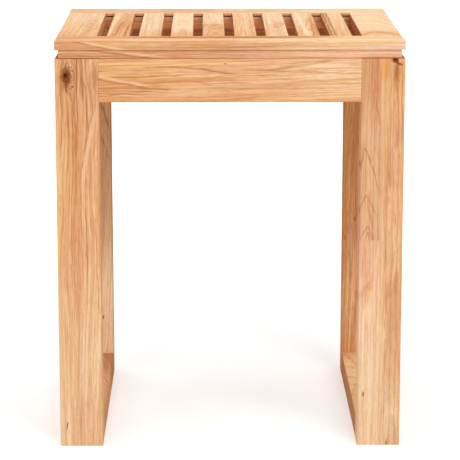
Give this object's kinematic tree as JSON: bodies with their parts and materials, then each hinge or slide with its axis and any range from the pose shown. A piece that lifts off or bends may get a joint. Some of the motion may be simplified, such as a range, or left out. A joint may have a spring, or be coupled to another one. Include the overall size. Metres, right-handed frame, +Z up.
{
  "type": "bathroom stool",
  "caption": "Rectangular solid wood bathroom stool with a slatted seat on a recessed spacer, closed side frames with floor rails, and aprons between them.",
  "frame": {"origin": "on the floor, under the middle of the seat", "axes": "+X to the right and -Y to the front as the stool is seen from the front, +Z up"},
  "size_m": [0.4, 0.33, 0.48],
  "materials": {
    "seat_wood": "light oiled hardwood, satin",
    "slat_wood": "light oiled hardwood, satin",
    "spacer_wood": "light oiled hardwood, satin",
    "frame_wood": "light oiled hardwood, satin",
    "dowel_wood": "raw beech dowel rod",
    "zinc_steel": "zinc plated"
  },
  "bodies": {
    "root": {"seat_front_rail": "seat_wood", "seat_rear_rail": "seat_wood", "end_board_left": "seat_wood", "end_board_right": "seat_wood", "slat_1": "slat_wood", "slat_2": "slat_wood", "slat_3": "slat_wood", "slat_4": "slat_wood", "slat_5": "slat_wood", "slat_6": "slat_wood", "slat_7": "slat_wood", "slat_8": "slat_wood", "spacer_front": "spacer_wood", "spacer_rear": "spacer_wood", "spacer_left": "spacer_wood", "spacer_right": "spacer_wood", "leg_front_left": "frame_wood", "leg_front_right": "frame_wood", "leg_rear_left": "frame_wood", "leg_rear_right": "frame_wood", "top_rail_left": "frame_wood", "top_rail_right": "frame_wood", "floor_rail_left": "frame_wood", "floor_rail_right": "frame_wood", "apron_front": "frame_wood", "apron_rear": "frame_wood", "frame_dowels": "dowel_wood", "apron_dowels": "dowel_wood", "cam_bolts": "zinc_steel", "cam_locks": "zinc_steel", "seat_screws": "zinc_steel", "spacer_screws": "zinc_steel"}
  },
  "joints": []
}
